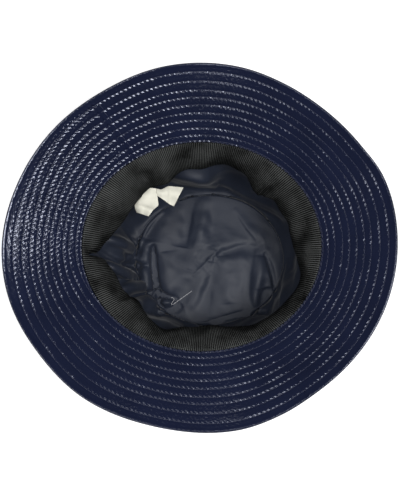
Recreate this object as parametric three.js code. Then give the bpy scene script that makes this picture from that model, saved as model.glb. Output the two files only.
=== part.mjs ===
// A rain bucket hat of glossy vinyl, lying crown down with its mouth up. Millimetres, +Z up.
// Angles are in degrees, counter-clockwise from +X, seen from above into the mouth.
import * as THREE from 'three';

// Crown
const crownHeight = 88;
const tipLength = 148;
const tipDepth = 132;
const tipShift = new THREE.Vector2(7, -6);
const tipRimRise = 1;
const vinylWall = 1.2;

// Opening, measured along the sweatband's sewn edge
const openingLength = 194.6;
const openingDepth = 170.4;

// Brim
const brimLength = 309.6;
const brimDepth = 289.6;
const brimShift = new THREE.Vector2(-1.9, -1.6);
const brimRise = 28;
const brimReach = 58;
const brimLift = 0.8;
const brimPly = 1.1;

// Side seams, which the crown and both plies of the brim share
const firstSeam = 127.5;
const secondSeam = 305.5;

// Ribbon, lining and labels
const ribbonWidth = 30;
const ribbonWall = 1.1;
const liningWall = 1.2;
const liningInset = 8;
const liningClearance = 0.5;
const liningHem = 3;
const liningFoot = 4;
const foldHeight = 8;
const labelLength = 27;
const labelTuck = 8;
const labelHang = 35;
const labelWall = 1;
const labelClearance = 1.1;

// Clearance between neighbours
const gap = 0.3;

// Steps round a closed piece, and round half of one
const stepsRound = 72;
const stepsHalf = stepsRound / 2;

// How far the brim's edge stands out, as a share of its oval, where it waves in and out
const brimWaves = [
  { at: 0, full: 1.0 },
  { at: 14, full: 1.007 },
  { at: 22, full: 1.004 },
  { at: 32, full: 0.98 },
  { at: 48, full: 0.971 },
  { at: 62, full: 0.981 },
  { at: 78, full: 1.0 },
  { at: 100, full: 0.999 },
  { at: 122, full: 0.974 },
  { at: 140, full: 0.974 },
  { at: 160, full: 0.98 },
  { at: 180, full: 1.0 },
  { at: 196, full: 1.005 },
  { at: 214, full: 0.997 },
  { at: 232, full: 1.007 },
  { at: 256, full: 0.997 },
  { at: 282, full: 1.011 },
  { at: 296, full: 0.997 },
  { at: 310, full: 0.982 },
  { at: 340, full: 0.992 },
];

// How far the ribbon's free edge leans in over the hollow, as a share of the ribbon's width
const ribbonLeans = [
  { at: 1, reach: 0.7 },
  { at: 17, reach: 0.67 },
  { at: 32, reach: 0.73 },
  { at: 42, reach: 0.87 },
  { at: 52, reach: 0.71 },
  { at: 64, reach: 0.5 },
  { at: 72, reach: 0.42 },
  { at: 82, reach: 0.48 },
  { at: 92, reach: 0.6 },
  { at: 108, reach: 0.67 },
  { at: 120, reach: 0.9 },
  { at: 135, reach: 0.84 },
  { at: 150, reach: 0.95 },
  { at: 164, reach: 0.92 },
  { at: 172, reach: 0.72 },
  { at: 181, reach: 0.4 },
  { at: 188, reach: 0.54 },
  { at: 198, reach: 0.65 },
  { at: 218, reach: 0.73 },
  { at: 229, reach: 0.59 },
  { at: 245, reach: 0.45 },
  { at: 259, reach: 0.58 },
  { at: 272, reach: 0.69 },
  { at: 290, reach: 0.54 },
  { at: 302, reach: 0.41 },
  { at: 318, reach: 0.33 },
  { at: 344, reach: 0.32 },
  { at: 354, reach: 0.54 },
];

// The crown's tip from its middle outward: share of the way out, and share of tipRimRise
const tipSections = [
  { out: 0, rise: 0 },
  { out: 0.95, rise: 0 },
  { out: 1, rise: 1 },
];

// Profile of the crown's side: the share of the way out from the tip's oval to the opening's
const sideSections = [
  { level: 0, spread: 0 },
  { level: 0.06, spread: 0.14 },
  { level: 0.2, spread: 0.33 },
  { level: 0.36, spread: 0.49 },
  { level: 0.54, spread: 0.65 },
  { level: 0.76, spread: 0.83 },
  { level: 1, spread: 1 },
];

// Soft dents that the crown's side and its lining share. wide is in degrees, level and tall are
// shares of the side's height, and push is a share of the crown's height
const sideDents = [
  { at: 97, wide: 20, level: 0.45, tall: 0.24, push: 0.07 },
  { at: 186, wide: 14, level: 0.42, tall: 0.22, push: 0.05 },
  { at: 238, wide: 18, level: 0.4, tall: 0.2, push: 0.04 },
  { at: 330, wide: 22, level: 0.35, tall: 0.2, push: 0.03 },
];

// Folds of the loose lining on the side, in the same columns, inward from the dents
const liningPuffs = [
  { at: 96, wide: 13, level: 0.42, tall: 0.16, push: 0.08 },
  { at: 140, wide: 10, level: 0.3, tall: 0.2, push: 0.05 },
  { at: 184, wide: 8, level: 0.34, tall: 0.2, push: 0.09 },
  { at: 214, wide: 12, level: 0.3, tall: 0.18, push: 0.05 },
  { at: 262, wide: 16, level: 0.28, tall: 0.16, push: 0.05 },
  { at: 330, wide: 12, level: 0.26, tall: 0.16, push: 0.04 },
  { at: 25, wide: 14, level: 0.3, tall: 0.2, push: 0.05 },
];

// Folds of the lining's tip: from and to are shares of its half length and half depth, high is a
// share of foldHeight and wide a share of the tip's half depth
const tipFolds = [
  { fromX: -0.21, fromY: 0.9, toX: -0.28, toY: -0.45, high: 0.55, wide: 0.14 },
  { fromX: -0.8, fromY: 0.05, toX: -0.66, toY: -0.75, high: 0.75, wide: 0.13 },
  { fromX: -0.98, fromY: -0.54, toX: -0.52, toY: -0.54, high: 0.6, wide: 0.1 },
  { fromX: 0.16, fromY: 0.3, toX: 0.62, toY: 0.1, high: 0.6, wide: 0.12 },
  { fromX: 0.58, fromY: -0.35, toX: 0.68, toY: -0.8, high: 0.75, wide: 0.13 },
  { fromX: 0.7, fromY: 0.14, toX: 0.86, toY: -0.3, high: 0.5, wide: 0.11 },
];

// The two labels fan out from the first side seam: the angles of the two edges of each where it is
// sewn in and at its free end, each edge's share of labelLength, and how much the label curls
const labels = [
  { name: 'label_left', sewn: [127.8, 134], free: [136.5, 156], length: [0.88, 0.6], curl: 2 },
  { name: 'label_right', sewn: [127.2, 121], free: [128, 105], length: [0.98, 0.76], curl: 2.5 },
];

// Heights that follow from the sizes above
const plyStack = 2 * brimPly + gap;
const wallFoot = tipRimRise + gap;
const wallTop = crownHeight - plyStack - gap;
const liningTop = crownHeight - liningHem;
const wallStandoff = liningWall + gap + liningClearance;
const ribbonTop = crownHeight - gap;

const vinyl = { color: 0x0d1128, roughness: 0.22, metalness: 0 };
const grosgrain = { color: 0x17170f, roughness: 0.85, metalness: 0 };
const satin = { color: 0x1b1e30, roughness: 0.5, metalness: 0 };
const whiteTape = { color: 0xe2dfd4, roughness: 0.8, metalness: 0 };

// The value of a column at an angle, smooth through the rows of a table that closes on itself
function around(rows, column, angle) {
  const turn = THREE.MathUtils.euclideanModulo(angle, 360);
  const rowAt = (place) => {
    const lap = Math.floor(place / rows.length);
    const row = rows[place - lap * rows.length];
    return { at: row.at + 360 * lap, value: row[column] };
  };
  const later = rows.findIndex((row) => row.at > turn);
  const place = later === -1 ? rows.length - 1 : later - 1;
  const [before, start, end, after] = [-1, 0, 1, 2].map((step) => rowAt(place + step));
  const span = end.at - start.at;
  const t = (turn - start.at) / span;
  const leaving = (span * (end.value - before.value)) / (end.at - before.at);
  const arriving = (span * (after.value - start.value)) / (after.at - start.at);
  const rise = end.value - start.value;
  return (
    start.value +
    leaving * t +
    (3 * rise - 2 * leaving - arriving) * t ** 2 +
    (leaving + arriving - 2 * rise) * t ** 3
  );
}

// A point at an angle on an oval, moved out by grow along the ray from the oval's centre
function onOval(length, depth, centre, angle, grow) {
  const turn = angle * THREE.MathUtils.DEG2RAD;
  const ray = new THREE.Vector2(Math.cos(turn), Math.sin(turn));
  const radius = 1 / Math.hypot((2 * ray.x) / length, (2 * ray.y) / depth);
  return ray.multiplyScalar(radius + grow).add(centre);
}

const middle = new THREE.Vector2(0, 0);
const openingPoint = (angle, grow) => onOval(openingLength, openingDepth, middle, angle, grow);

// A thin sheet as one closed solid. face(u, v, side) gives a point of its first side (0) or second
// side (1), with u from 0 to 1 round or across the sheet and v from 0 to 1 along it. A round sheet
// closes in u, and a centred one has all of its v = 0 edge in one point.
function sheet({ across, along, round = false, centred = false, face }) {
  const columns = round ? across : across + 1;
  const corners = [];
  const numbers = new Map();
  const corner = (i, j, side) => {
    const column = round ? i % columns : i;
    const key = centred && j === 0 ? `middle ${side}` : `${column} ${j} ${side}`;
    if (!numbers.has(key)) {
      numbers.set(key, corners.length);
      corners.push(face(column / across, j / along, side));
    }
    return numbers.get(key);
  };
  const faces = [];
  const quad = (a, b, c, d) => {
    for (const [p, q, r] of [[a, b, c], [a, c, d]]) {
      if (p !== q && q !== r && r !== p) {
        faces.push(p, q, r);
      }
    }
  };
  for (let i = 0; i < across; i += 1) {
    for (let j = 0; j < along; j += 1) {
      quad(corner(i, j, 0), corner(i + 1, j, 0), corner(i + 1, j + 1, 0), corner(i, j + 1, 0));
      quad(corner(i, j, 1), corner(i, j + 1, 1), corner(i + 1, j + 1, 1), corner(i + 1, j, 1));
    }
    quad(corner(i, along, 0), corner(i + 1, along, 0), corner(i + 1, along, 1), corner(i, along, 1));
    if (!centred) {
      quad(corner(i, 0, 1), corner(i + 1, 0, 1), corner(i + 1, 0, 0), corner(i, 0, 0));
    }
  }
  if (!round) {
    for (let j = 0; j < along; j += 1) {
      quad(corner(0, j, 0), corner(0, j + 1, 0), corner(0, j + 1, 1), corner(0, j, 1));
      quad(corner(across, j, 1), corner(across, j + 1, 1), corner(across, j + 1, 0), corner(across, j, 0));
    }
  }
  const geometry = new THREE.BufferGeometry().setFromPoints(corners);
  geometry.setIndex(enclosed(corners, faces) < 0 ? faces.toReversed() : faces);
  geometry.computeVertexNormals();
  return geometry;
}

// Six times the volume that a closed set of faces holds, below 0 when the faces point inward
function enclosed(corners, faces) {
  let sum = 0;
  const normal = new THREE.Vector3();
  for (let i = 0; i < faces.length; i += 3) {
    const [a, b, c] = [0, 1, 2].map((step) => corners[faces[i + step]]);
    sum += a.dot(normal.crossVectors(b, c));
  }
  return sum;
}

const hat = new THREE.Group();

function addPiece(name, finish, geometry) {
  const piece = new THREE.Mesh(geometry, new THREE.MeshStandardMaterial(finish));
  piece.name = name;
  hat.add(piece);
}

// Angle at u along one half of a ring that ends gap short of both side seams
const halves = [
  { side: 'left', start: firstSeam, end: secondSeam },
  { side: 'right', start: secondSeam, end: firstSeam + 360 },
];

function halfAngle({ start, end }, u, radius) {
  const trim = (gap / 2 / radius) * THREE.MathUtils.RAD2DEG;
  return THREE.MathUtils.lerp(start + trim, end - trim, u);
}

// Crown tip: a flat oval whose rim turns up to the side seam
const tipRings = tipSections.length - 1;

function tipFace(u, v, side) {
  const { out, rise } = tipSections[Math.round(v * tipRings)];
  const flat = onOval(tipLength, tipDepth, tipShift, 360 * u, 0).lerp(tipShift, 1 - out);
  return new THREE.Vector3(flat.x, flat.y, rise * tipRimRise + side * vinylWall);
}

addPiece('crown_tip', vinyl, sheet({
  across: stepsRound, along: tipRings, round: true, centred: true, face: tipFace,
}));

// Inward depth of a table of dents at an angle and a level of the crown's side
function dentDepth(dents, angle, level) {
  const sum = dents.reduce((depth, dent) => {
    const turn = THREE.MathUtils.euclideanModulo(angle - dent.at + 180, 360) - 180;
    const fall = (turn / dent.wide) ** 2 + ((level - dent.level) / dent.tall) ** 2;
    return depth + dent.push * Math.exp(-fall);
  }, 0);
  return crownHeight * sum * Math.sin(Math.PI * level);
}

const sideRows = sideSections.length - 1;
const sideProfile = new THREE.SplineCurve(
  sideSections.map(({ level, spread }) => new THREE.Vector2(spread, level)),
);

// A point of the crown's side, inset from its inner face
function sidePoint(angle, v, inset) {
  const { x: spread, y: level } = sideProfile.getPoint(v);
  const low = onOval(tipLength, tipDepth, tipShift, angle, gap - inset);
  const high = openingPoint(angle, wallStandoff - inset);
  const flat = low.lerp(high, spread);
  flat.addScaledVector(openingPoint(angle, 0).normalize(), -dentDepth(sideDents, angle, level));
  return new THREE.Vector3(flat.x, flat.y, THREE.MathUtils.lerp(wallFoot, wallTop, level));
}

for (const half of halves) {
  addPiece(`crown_side_${half.side}`, vinyl, sheet({
    across: stepsHalf,
    along: sideRows,
    face: (u, v, side) => sidePoint(halfAngle(half, u, tipDepth / 2), v, -side * vinylWall),
  }));
}

// A point of the brim, v of the way from its inner to its outer edge and below its upward face
function brimPoint(angle, v, below) {
  const inner = openingPoint(angle, gap);
  const full = around(brimWaves, 'full', angle);
  const outer = onOval(brimLength * full, brimDepth * full, brimShift, angle, 0);
  const run = outer.clone().sub(inner);
  const reach = run.length();
  const rise = brimRise + brimLift * (brimReach - reach);
  const slope = Math.hypot(reach, rise);
  const flat = inner.lerp(outer, v).addScaledVector(run, (below * rise) / slope / reach);
  return new THREE.Vector3(flat.x, flat.y, crownHeight + v * rise - (below * reach) / slope);
}

for (const half of halves) {
  const plies = [
    { name: 'brim_under', top: 0 },
    { name: 'brim_top', top: brimPly + gap },
  ];
  for (const ply of plies) {
    addPiece(`${ply.name}_${half.side}`, vinyl, sheet({
      across: stepsHalf,
      along: 3,
      face: (u, v, side) => {
        const angle = halfAngle(half, u, openingDepth / 2);
        return brimPoint(angle, v, ply.top + side * brimPly);
      },
    }));
  }
}

// Where along the profile the lining lies behind the free edge of a ribbon that hangs straight down
const profileSteps = 100;
const ribbonLevel = 1 - ribbonWidth / (liningTop - liningFoot);
const profile = sideProfile.getPoints(profileSteps);
const behindRibbon = profile.findIndex(({ y }) => y >= ribbonLevel) / profileSteps;

// The least that the ribbon can lean in without meeting the lining behind it
function leastReach(angle) {
  const behind = liningSidePoint(angle, behindRibbon, liningWall);
  return openingPoint(angle, 0).length() - Math.hypot(behind.x, behind.y) + gap;
}

// A point of the ribbon, v of the way from its sewn to its free edge and above its hidden face
function ribbonPoint(angle, v, above) {
  const lean = ribbonWidth * around(ribbonLeans, 'reach', angle);
  const reach = Math.max(lean, leastReach(angle));
  const drop = Math.sqrt(ribbonWidth ** 2 - reach ** 2);
  const flat = openingPoint(angle, -v * reach - (above * drop) / ribbonWidth);
  return new THREE.Vector3(flat.x, flat.y, ribbonTop - v * drop + (above * reach) / ribbonWidth);
}

addPiece('sweatband', grosgrain, sheet({
  across: stepsRound,
  along: 3,
  round: true,
  face: (u, v, side) => ribbonPoint(360 * u, v, side * ribbonWall),
}));

// The lining's side, a loose cone from under the ribbon to the edge of the lining's tip
function liningSidePoint(angle, v, inset) {
  const { x: spread, y: level } = sideProfile.getPoint(v);
  const low = onOval(tipLength, tipDepth, tipShift, angle, -liningInset - inset);
  const high = openingPoint(angle, wallStandoff - liningClearance - inset);
  const flat = low.lerp(high, spread);
  const depth = dentDepth(sideDents, angle, level) + dentDepth(liningPuffs, angle, level);
  flat.addScaledVector(openingPoint(angle, 0).normalize(), -depth);
  return new THREE.Vector3(flat.x, flat.y, THREE.MathUtils.lerp(liningFoot, liningTop, level));
}

addPiece('lining_side', satin, sheet({
  across: stepsRound,
  along: sideRows,
  round: true,
  face: (u, v, side) => liningSidePoint(360 * u, v, side * liningWall),
}));

// Height of the folds of the lining's tip at a place given as shares of its half sizes
function foldRise(x, y) {
  return tipFolds.reduce((rise, fold) => {
    const from = new THREE.Vector3(fold.fromX, fold.fromY, 0);
    const to = new THREE.Vector3(fold.toX, fold.toY, 0);
    const here = new THREE.Vector3(x, y, 0);
    const nearest = new THREE.Line3(from, to).closestPointToPoint(here, true, new THREE.Vector3());
    return rise + foldHeight * fold.high * Math.exp(-((nearest.distanceTo(here) / fold.wide) ** 2));
  }, 0);
}

function liningTipFace(u, v, side) {
  const edge = -liningInset - liningWall - gap;
  const flat = onOval(tipLength, tipDepth, tipShift, 360 * u, edge).sub(tipShift).multiplyScalar(v);
  const folds = foldRise((2 * flat.x) / tipLength, (2 * flat.y) / tipDepth) * (1 - v ** 6);
  const rest = THREE.MathUtils.lerp(vinylWall + gap, liningFoot, v ** 4);
  flat.add(tipShift);
  return new THREE.Vector3(flat.x, flat.y, rest + folds + side * liningWall);
}

addPiece('lining_tip', satin, sheet({
  across: 46, along: 8, round: true, centred: true, face: liningTipFace,
}));

// A label: tucked in under the ribbon, then hanging down and inward from the free edge
function labelPoint({ sewn, free, length, curl }, u, v, below) {
  const { lerp } = THREE.MathUtils;
  const angle = lerp(lerp(...sewn, u), lerp(...free, u), Math.sqrt(v));
  const along = lerp(-labelTuck, labelLength * lerp(...length, u), v);
  const hanging = Math.max(along, 0);
  const hang = labelHang * THREE.MathUtils.DEG2RAD;
  const inward = openingPoint(angle, 0).normalize().multiplyScalar(-hanging * Math.cos(hang));
  const ripple = curl * Math.sin(2 * Math.PI * u) * (hanging / labelLength);
  const tucked = 1 + Math.min(along, 0) / ribbonWidth;
  const point = ribbonPoint(angle, tucked, -labelClearance - below);
  return point.add(new THREE.Vector3(inward.x, inward.y, ripple - hanging * Math.sin(hang)));
}

for (const label of labels) {
  addPiece(label.name, whiteTape, sheet({
    across: 4,
    along: 8,
    face: (u, v, side) => labelPoint(label, u, v, side * labelWall),
  }));
}

// The origin is at the middle of the hat's box, on the surface that its crown lies on
const box = new THREE.Box3().setFromObject(hat);
const centre = box.getCenter(new THREE.Vector3());
hat.position.set(-centre.x, -centre.y, -box.min.z);

export default hat;
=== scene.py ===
import math

import bpy
import numpy as np
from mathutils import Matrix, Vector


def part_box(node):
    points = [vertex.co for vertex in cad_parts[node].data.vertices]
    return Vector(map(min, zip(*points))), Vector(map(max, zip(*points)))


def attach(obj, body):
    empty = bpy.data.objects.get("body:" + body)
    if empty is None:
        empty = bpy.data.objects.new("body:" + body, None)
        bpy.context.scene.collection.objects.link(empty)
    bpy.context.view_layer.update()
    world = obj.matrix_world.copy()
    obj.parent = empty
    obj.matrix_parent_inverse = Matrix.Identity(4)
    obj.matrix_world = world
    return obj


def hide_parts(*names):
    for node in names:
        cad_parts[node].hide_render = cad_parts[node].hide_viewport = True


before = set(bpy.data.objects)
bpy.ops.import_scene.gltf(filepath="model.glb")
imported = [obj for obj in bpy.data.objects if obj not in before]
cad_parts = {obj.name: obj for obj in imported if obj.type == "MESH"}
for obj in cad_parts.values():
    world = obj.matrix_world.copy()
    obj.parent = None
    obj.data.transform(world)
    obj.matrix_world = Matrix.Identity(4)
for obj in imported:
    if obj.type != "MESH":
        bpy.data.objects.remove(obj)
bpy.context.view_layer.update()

# Crown tip: the oval of glossy coated cloth on which the hat lies. Its rim turns up, where it is
# sewn to the foot of the crown's side.
mm = 0.001
gap = 0.3 * mm
vinyl_wall = 1.2 * mm
tip_rim_rise = 1.0 * mm
tip_columns = 180
tip_outward = (0, 0.12, 0.25, 0.4, 0.55, 0.7, 0.82, 0.9, 0.945)
tip_rim = ((0.97, 0.06), (0.985, 0.2), (0.995, 0.5), (1.0, 0.95))
ripple_waves = 14
vinyl_dark = (0.0040, 0.0062, 0.0200, 1)
vinyl_light = (0.0084, 0.0122, 0.0365, 1)


def oval_of(node):
    """Centre and half axes of an oval CAD piece, from its box."""
    low, high = (np.array(corner)[:2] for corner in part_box(node))
    return (low + high) / 2, (high - low) / 2


def outward(angle):
    """Directions in plan at angles in degrees."""
    return np.stack([np.cos(np.radians(angle)), np.sin(np.radians(angle))], axis=-1)


def on_oval(oval, angle, grow=0.0):
    """Points at angles in degrees on an oval, moved out by grow along the rays from its centre."""
    centre, half = oval
    ray = outward(angle)
    radius = 1 / np.hypot(ray[..., 0] / half[0], ray[..., 1] / half[1])
    return centre + ray * (radius + grow)[..., None]


def ripples(place, wavelength, seed):
    """Smooth seeded noise of about unit height at an array of places, of about one wavelength."""
    dice = np.random.default_rng(seed)
    total = np.zeros(place.shape[:-1])
    for _ in range(ripple_waves):
        way = dice.normal(size=place.shape[-1])
        way *= 2 * math.pi / (wavelength * dice.uniform(0.7, 1.4) * np.linalg.norm(way))
        total += np.sin(place @ way + dice.uniform(0, 2 * math.pi))
    return total / math.sqrt(ripple_waves / 2)


def added(name, data):
    """A new object in the scene."""
    made = bpy.data.objects.new(name, data)
    bpy.context.scene.collection.objects.link(made)
    return made


def solid(name, points, faces, finish, cloth=None, crisp=None):
    """A smooth mesh piece with its faces outward. cloth gives each face corner its place on the
    flat cloth, and crisp is the angle in degrees past which an edge stays sharp."""
    mesh = bpy.data.meshes.new(name)
    mesh.from_pydata(points, [], faces)
    if cloth is not None:
        mesh.uv_layers.new(name="cloth").uv.foreach_set("vector", np.ravel(cloth).astype(np.float32))
    mesh.shade_smooth()
    if crisp:
        mesh.set_sharp_from_angle(angle=math.radians(crisp))
    mesh.calc_loop_triangles()
    corners = np.empty(3 * len(mesh.loop_triangles), dtype=np.int32)
    mesh.loop_triangles.foreach_get("vertices", corners)
    a, b, c = np.asarray(points)[corners.reshape(-1, 3)].transpose(1, 0, 2)
    if np.einsum("ij,ij", a, np.cross(b, c)) < 0:
        mesh.flip_normals()
    mesh.materials.append(finish)
    return added(name, mesh)


def skin(name, rows, finish, round_trip=False, looped=True, along=None, across=None, crisp=None):
    """A piece whose surface runs through rows of points. A row of one point is a pole, looped joins
    the last row to the first, and round_trip joins each row's end to its start. Otherwise the ends
    of a looped piece are capped. along and across give columns and rows their flat places."""
    rows = [np.atleast_2d(row) for row in rows]
    columns = max(len(row) for row in rows)
    starts = np.cumsum([0] + [len(row) for row in rows])
    steps = np.arange(columns if round_trip else columns - 1)
    along = np.zeros(columns + 1) if along is None else along
    across = np.zeros(len(rows) + 1) if across is None else across
    faces, cloth = [], []
    for low in range(len(rows) if looped else len(rows) - 1):
        high = (low + 1) % len(rows)
        walk = ((low, 0, low), (low, 1, low), (high, 1, low + 1), (high, 0, low + 1))
        if len(rows[low]) == 1:
            walk = walk[1:]
        if len(rows[high]) == 1:
            walk = walk[:3]
        corners = [starts[row] + (steps + step) % len(rows[row]) for row, step, _ in walk]
        faces += np.stack(corners, axis=1).tolist()
        flat = [
            np.stack([along[steps + step], np.full(len(steps), across[place])], axis=1)
            for _, step, place in walk
        ]
        cloth.append(np.stack(flat, axis=1).reshape(-1, 2))
    if looped and not round_trip:
        faces += [starts[:-1].tolist(), (starts[:-1] + columns - 1).tolist()[::-1]]
        cloth.append(np.zeros((2 * len(rows), 2)))
    return solid(name, np.concatenate(rows), faces, finish, np.concatenate(cloth), crisp)


class Wire:
    """An output of a node in a finish, on which Python's operators add Math nodes."""

    def __init__(self, finish, socket):
        self.finish = finish
        self.socket = socket

    def math(self, operation, first, second):
        return self.finish.node("Math", {"operation": operation}, {0: first, 1: second})

    def __add__(self, other):
        return self.math("ADD", self, other)

    def __sub__(self, other):
        return self.math("SUBTRACT", self, other)

    def __mul__(self, other):
        return self.math("MULTIPLY", self, other)

    def __pow__(self, other):
        return self.math("POWER", self, other)

    def __radd__(self, other):
        return self.math("ADD", other, self)

    def __rsub__(self, other):
        return self.math("SUBTRACT", other, self)

    def __rmul__(self, other):
        return self.math("MULTIPLY", other, self)


class Finish:
    """A material in the making. place is where each point of its surface lies on the hat."""

    def __init__(self, name):
        self.material = bpy.data.materials.new(name)
        self.material.use_nodes = True
        self.tree = self.material.node_tree
        self.tree.nodes.clear()
        self.place = self.node("TexCoord", output="Object")

    def node(self, kind, settings=None, inputs=None, output=0):
        """Adds a node, with its settings first and then the values or wires of its inputs."""
        made = self.tree.nodes.new("ShaderNode" + kind)
        for name, value in (settings or {}).items():
            setattr(made, name, value)
        for name, value in (inputs or {}).items():
            if isinstance(value, Wire):
                self.tree.links.new(value.socket, made.inputs[name])
            else:
                made.inputs[name].default_value = value
        return Wire(self, made.outputs[output]) if made.outputs else None

    def noise(self, scale, detail=2.0):
        return self.node("TexNoise", {}, {"Vector": self.place, "Scale": scale, "Detail": detail})

    def between(self, share, first, second):
        """A colour that goes from first to second with share."""
        return self.node("Mix", {"data_type": "RGBA"}, {0: share, 6: first, 7: second}, 2)

    def bumped(self, height, distance):
        """The normal of a surface with a fine relief that is distance high."""
        return self.node("Bump", {}, {"Height": height, "Distance": distance, "Strength": 1.0})

    def cover(self, **inputs):
        """Ends the finish in its surface shader. An input's name has _ for each space."""
        named = {name.replace("_", " "): value for name, value in inputs.items()}
        surface = self.node("BsdfPrincipled", {}, named)
        self.node("OutputMaterial", {}, {"Surface": surface})
        return self.material


def vinyl(name, crinkle):
    """Glossy navy coated cloth, crinkled finely to a height in metres."""
    finish = Finish(name)
    tone = finish.noise(32.0)
    smear = finish.noise(140.0, 3.0)
    grain = finish.noise(420.0, 3.0)
    return finish.cover(
        Base_Color=finish.between(tone, vinyl_dark, vinyl_light),
        Roughness=0.08 + 0.10 * smear,
        IOR=1.5,
        Specular_Tint=(0.80, 0.84, 1.0, 1),
        Normal=finish.bumped(grain, crinkle),
    )


def sew_in(piece, slot, *nodes):
    """Fixes a finished piece to the hat, in place of the CAD nodes that it stands for."""
    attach(piece, "root")
    if nodes:
        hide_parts(*nodes)


tip_oval = oval_of("crown_tip")
around_tip = np.arange(tip_columns) * 360 / tip_columns


def tip_row(out, height):
    """One row of the tip, out of the way from its middle, where it is one point."""
    if out == 0:
        return np.array([*tip_oval[0], height])
    flat = tip_oval[0] + out * (on_oval(tip_oval, around_tip) - tip_oval[0])
    return np.column_stack([flat, np.full(tip_columns, height)])


outer_face = [tip_row(out, 0) for out in tip_outward]
outer_face += [tip_row(out, rise * tip_rim_rise) for out, rise in tip_rim]
inner_face = [tip_row(out, rise * tip_rim_rise + vinyl_wall) for out, rise in tip_rim[::-1]]
inner_face += [tip_row(out, vinyl_wall) for out in tip_outward[::-1]]
crown_vinyl = vinyl("crown vinyl", 0.25 * mm)
crown_tip = skin("crown_tip_vinyl", outer_face + inner_face, crown_vinyl, round_trip=True,
                 looped=False, crisp=60)
sew_in(crown_tip, "vinyl", "crown_tip")

# Crown side: the crown's wall in two halves of the same coated cloth, soft enough to dent. The two
# are joined in seams, and their foot is sewn to the rim of the tip.
crown_height = 88 * mm
brim_ply = 1.1 * mm
lining_wall = 1.2 * mm
lining_clearance = 0.5 * mm
wall_foot = tip_rim_rise + gap
wall_top = crown_height - 2 * brim_ply - 2 * gap
wall_standoff = lining_wall + gap + lining_clearance
first_seam = 127.5
second_seam = 305.5
halves = {"left": (first_seam, second_seam), "right": (second_seam, first_seam + 360)}
side_columns = 240
side_outer_rows = 61
side_inner_rows = 13
side_profile_steps = 20
seam_roll = 0.8 * mm
seam_dip = 0.35 * mm
crumple = 0.45 * mm
crumple_length = 26 * mm

# Profile of the side: its level, and the share of the way out from the tip's oval to the opening's
side_profile = ((0, 0), (0.06, 0.14), (0.2, 0.33), (0.36, 0.49), (0.54, 0.65), (0.76, 0.83), (1, 1))

# Soft dents: place and width in degrees, level and height as shares of the side's, and depth as a
# share of the crown's height
side_dents = (
    (97, 20, 0.45, 0.24, 0.07),
    (186, 14, 0.42, 0.22, 0.05),
    (238, 18, 0.4, 0.2, 0.04),
    (330, 22, 0.35, 0.2, 0.03),
)
opening_oval = oval_of("sweatband")
opening_centre = opening_oval[0]
opening_radius = opening_oval[1][1]


def smooth_between(a, b, c, d, t):
    """Points t of the way from b to c, on a smooth curve through a, b, c and d."""
    return b + t / 2 * (c - a + t * (2 * a - 5 * b + 4 * c - d + t * (3 * (b - c) + d - a)))


def side_spread(level):
    """The side's spread at a level, on a smooth curve through its profile."""
    knots = np.array(side_profile)
    knots = np.concatenate([knots[:1], knots, knots[-1:]])
    t = np.linspace(0, 1, side_profile_steps)[:, None]
    spans = zip(knots, knots[1:], knots[2:], knots[3:])
    levels, spreads = np.concatenate([smooth_between(*span, t) for span in spans]).T
    return np.interp(level, levels, spreads)


def turned(angle, centre):
    """Angles from a centre, between -180 and 180 degrees."""
    return (angle - centre + 180) % 360 - 180


def dented(dents, angle, level):
    """How deep a table of dents is at angles and levels."""
    return sum(
        push * np.exp(-(turned(angle, at) / wide) ** 2 - ((level - middle) / tall) ** 2)
        for at, wide, middle, tall, push in dents
    )


def side_dent(dents, angle, level):
    """Inward depth of dents of the crown's side, which fade to its foot and its top."""
    return crown_height * dented(dents, angle, level) * np.sin(math.pi * level)


def wall_point(angle, level, foot, grow_foot, grow_top, depth, top):
    """Points of a wall between the tip's oval and the opening's, pushed in by depth."""
    low = on_oval(tip_oval, angle, grow_foot)
    high = on_oval(opening_oval, angle, grow_top)
    flat = low + (high - low) * side_spread(level)[..., None] - depth[..., None] * outward(angle)
    return np.concatenate([flat, (foot + (top - foot) * level)[..., None]], axis=-1)


def bell(distance):
    """1 where a distance is 0, falling off smoothly past 1."""
    return np.exp(-(distance**2))


def seam_fall(angle, radius):
    """How far cloth turns down at angles and radii, by its distance from the nearer seam."""
    seam = np.minimum(abs(turned(angle, first_seam)), abs(turned(angle, second_seam)))
    return seam_dip * bell(np.radians(seam) * radius / seam_roll)


def side_point(angle, level, outside):
    """Points of the crown's side at angles and levels, some way outside its inner face."""
    angle, level = np.broadcast_arrays(angle, level)
    depth = side_dent(side_dents, angle, level)
    depth += seam_fall(angle, opening_radius)
    place = np.stack([np.radians(angle) * opening_radius, level * crown_height], axis=-1)
    fade = np.sin(math.pi * level) ** 0.5
    depth += crumple * fade * ripples(place, crumple_length, seed=5)
    return wall_point(angle, level, wall_foot, gap + outside, wall_standoff + outside, depth, wall_top)


for half, (start, end) in halves.items():
    angle = np.linspace(start, end, side_columns + 1)
    rows = [side_point(angle, level, vinyl_wall) for level in np.linspace(0, 1, side_outer_rows)]
    rows += [side_point(angle, level, 0.0) for level in np.linspace(1, 0, side_inner_rows)]
    wall = skin(f"crown_side_{half}_vinyl", rows, crown_vinyl, crisp=60)
    sew_in(wall, "vinyl", f"crown_side_{half}")

# Brim: two plies of the coated cloth, each cut in two halves, turned in at the edge and quilted
# together with one long spiral of stitching. The under ply faces up here, as the hat lies.
brim_length = 309.6 * mm
brim_depth = 289.6 * mm
brim_shift = np.array([-1.9, -1.6]) * mm
brim_rise = 28 * mm
brim_reach = 58 * mm
brim_lift = 0.8
ply_back_rows = 4

# The stitching: its pitch and slant, its groove and needle holes, and the puckers between its rows
stitch_pitch = 3.8 * mm
stitch_slant = -0.85
groove_depth = 0.12 * mm
groove_width = 0.8 * mm
hole_depth = 0.40 * mm
hole_length = 0.85 * mm
hole_reach = 1.05 * mm
pucker_depth = 0.10 * mm
pucker_reach = 2.0 * mm

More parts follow.
